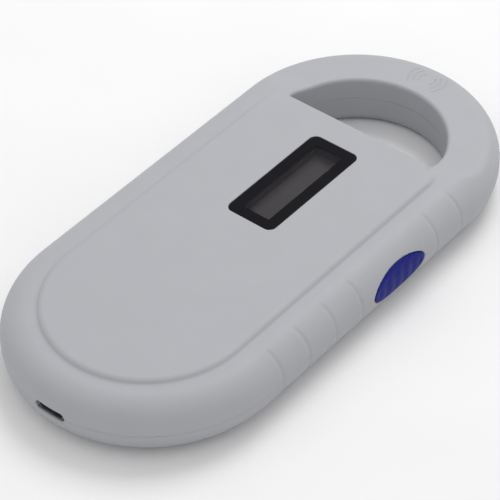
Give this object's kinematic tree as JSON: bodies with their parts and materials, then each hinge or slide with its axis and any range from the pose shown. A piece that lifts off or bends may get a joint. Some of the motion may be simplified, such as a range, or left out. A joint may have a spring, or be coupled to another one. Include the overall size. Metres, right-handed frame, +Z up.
{
  "type": "microchip scanner",
  "caption": "Palm-size pet microchip scanner: pill-shaped case with a half-round antenna ring, a small display window and an oval side button.",
  "frame": {"origin": "centre of the flat back face", "axes": "+Y towards the antenna ring, +X towards the push button, +Z up through the display"},
  "size_m": [0.0716, 0.1499, 0.0165],
  "materials": {
    "case_plastic": "fine satin moulded surface",
    "window_acrylic": "polished, black border printed on the back",
    "black_foam": "matte",
    "display_glass": "dark, smooth",
    "adhesive": "die-cut adhesive film",
    "holder_plastic": "matte",
    "ribbon": "polyimide film",
    "connector_plastic": "matte",
    "board_laminate": "solder-mask gloss",
    "chip_epoxy": "fine matte",
    "ceramic_component": "smooth",
    "can_metal": "satin",
    "buzzer_plastic": "matte",
    "socket_steel": "satin",
    "socket_insert": "matte",
    "switch_plastic": "matte",
    "plunger_plastic": "smooth",
    "button_plastic": "satin, ribbed face",
    "cell_foil": "satin foil",
    "foam_tape": "soft foam",
    "red_insulation": "smooth",
    "black_insulation": "smooth",
    "enamelled_copper": "close-wound enamelled wire",
    "polyimide_tape": "glossy film",
    "screw_steel": "zinc plated",
    "label_film": "blank satin label"
  },
  "bodies": {
    "case": {"front_shell": "case_plastic", "back_shell": "case_plastic", "display_window": "window_acrylic", "window_tape": "adhesive", "display_gasket": "black_foam", "oled_panel": "display_glass", "display_holder": "holder_plastic", "display_flex": "ribbon", "display_connector": "connector_plastic", "main_board": "board_laminate", "controller_chip": "chip_epoxy", "reader_chip": "chip_epoxy", "charger_chip": "chip_epoxy", "crystal": "can_metal", "tuning_capacitors": "ceramic_component", "chip_components": "ceramic_component", "buzzer": "buzzer_plastic", "usb_socket": "socket_steel", "usb_tongue": "socket_insert", "switch_body": "switch_plastic", "battery_cell": "cell_foil", "battery_protection_board": "board_laminate", "battery_pad": "foam_tape", "battery_lead_red": "red_insulation", "battery_lead_black": "black_insulation", "battery_plug": "connector_plastic", "battery_socket": "connector_plastic", "antenna_coil": "enamelled_copper", "coil_tape": "polyimide_tape", "antenna_leads": "enamelled_copper", "case_screws": "screw_steel", "rating_label": "label_film"},
    "button": {"side_button": "button_plastic"},
    "plunger": {"switch_plunger": "plunger_plastic"}
  },
  "joints": [
    {"name": "button_press", "type": "slide", "parent": "case", "child": "button", "axis": [-1, 0, 0], "range_m": [0, 0.0006], "stiffness_N_per_m": 2500},
    {"name": "plunger_press", "type": "slide", "parent": "case", "child": "plunger", "axis": [-1, 0, 0], "range_m": [0, 0.0003]}
  ],
  "couplings": [
    {"joint": "plunger_press", "follows": "button_press", "ratio": 0.5}
  ]
}
